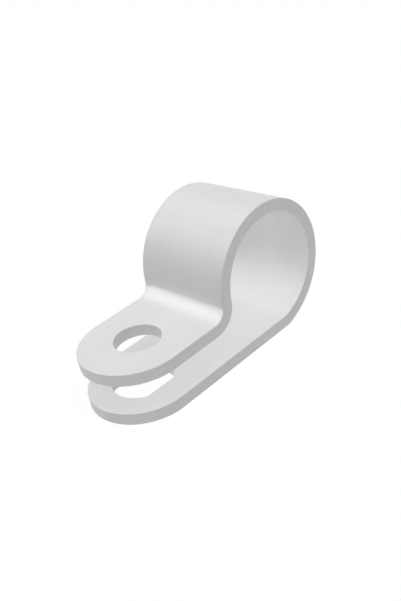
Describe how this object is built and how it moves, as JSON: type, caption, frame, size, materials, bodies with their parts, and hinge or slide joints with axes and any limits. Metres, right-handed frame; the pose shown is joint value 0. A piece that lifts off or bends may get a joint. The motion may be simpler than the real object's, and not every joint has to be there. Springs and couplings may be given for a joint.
{
  "type": "cable clip",
  "caption": "Moulded P-shaped cable clip: a strap bent into a round loop for a cable, with flat rounded tabs and a screw hole for fixing it to a surface.",
  "frame": {"origin": "where the screw's axis meets the plane of the mounting face", "axes": "+Z out of the mounting face along the screw, +X from the screw to the loop, Y along the cable"},
  "size_m": [0.0247, 0.01, 0.0132],
  "materials": {
    "nylon": "natural nylon, satin as moulded"
  },
  "bodies": {
    "root": {"cable_clip": "nylon"}
  },
  "joints": []
}
